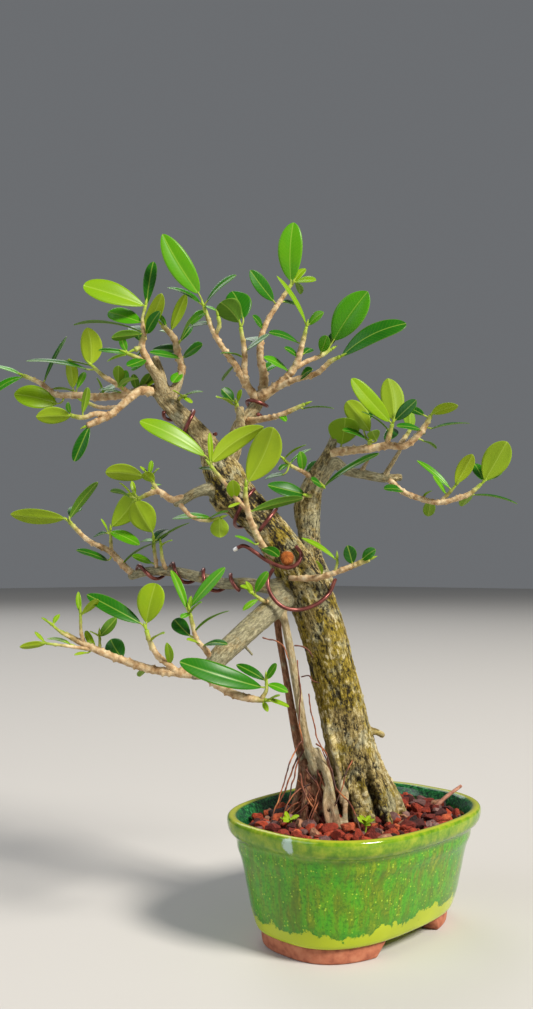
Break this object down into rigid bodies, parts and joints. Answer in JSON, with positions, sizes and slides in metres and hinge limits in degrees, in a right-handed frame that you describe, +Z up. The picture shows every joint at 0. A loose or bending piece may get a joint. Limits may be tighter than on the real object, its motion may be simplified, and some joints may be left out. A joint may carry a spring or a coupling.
{
  "type": "potted bonsai tree",
  "caption": "Small-leaved bonsai tree with a slanting trunk, wired branches and leafy sprays, planted in an oval glazed pot on two low feet with gravel over the soil.",
  "frame": {"origin": "on the resting plane, under the middle of the whole object's box", "axes": "+Z up, +X along the pot's long side; the tree's front faces the diagonal between -X and -Y"},
  "size_m": [0.3226, 0.3148, 0.5491],
  "materials": {
    "glazed_stoneware": "speckled green gloss glaze, bare terracotta feet",
    "bark": "rough fissured bark with green lichen",
    "soil": "dark granular potting soil",
    "lava_gravel": "rough broken lava gravel",
    "dry_wood": "dry peeling twig",
    "training_wire": "dark copper-brown anodised",
    "foliage": "waxy leaves on pale twigs"
  },
  "bodies": {
    "root": {"dry_stick": "dry_wood", "gravel": "lava_gravel", "pot": "glazed_stoneware", "soil": "soil", "spray_apex": "foliage", "spray_branch_root": "foliage", "spray_centre": "foliage", "spray_centre_front": "foliage", "spray_crown_left": "foliage", "spray_crown_right": "foliage", "spray_dead_twig": "foliage", "spray_far_left": "foliage", "spray_far_left_low": "foliage", "spray_fork_leaf": "foliage", "spray_front_shoot": "foliage", "spray_knot": "foliage", "spray_left_bud": "foliage", "spray_low_front": "foliage", "spray_low_left": "foliage", "spray_low_upright": "foliage", "spray_middle_left": "foliage", "spray_right_low": "foliage", "spray_right_upper": "foliage", "spray_trunk_top": "foliage", "spray_upper_left": "foliage", "spray_upper_left_low": "foliage", "tree": "bark", "wire_apex": "training_wire", "wire_knot": "training_wire", "wire_left_limb": "training_wire", "wire_stump": "training_wire", "wire_trunk_bend": "training_wire", "wire_trunk_top": "training_wire"}
  },
  "joints": []
}
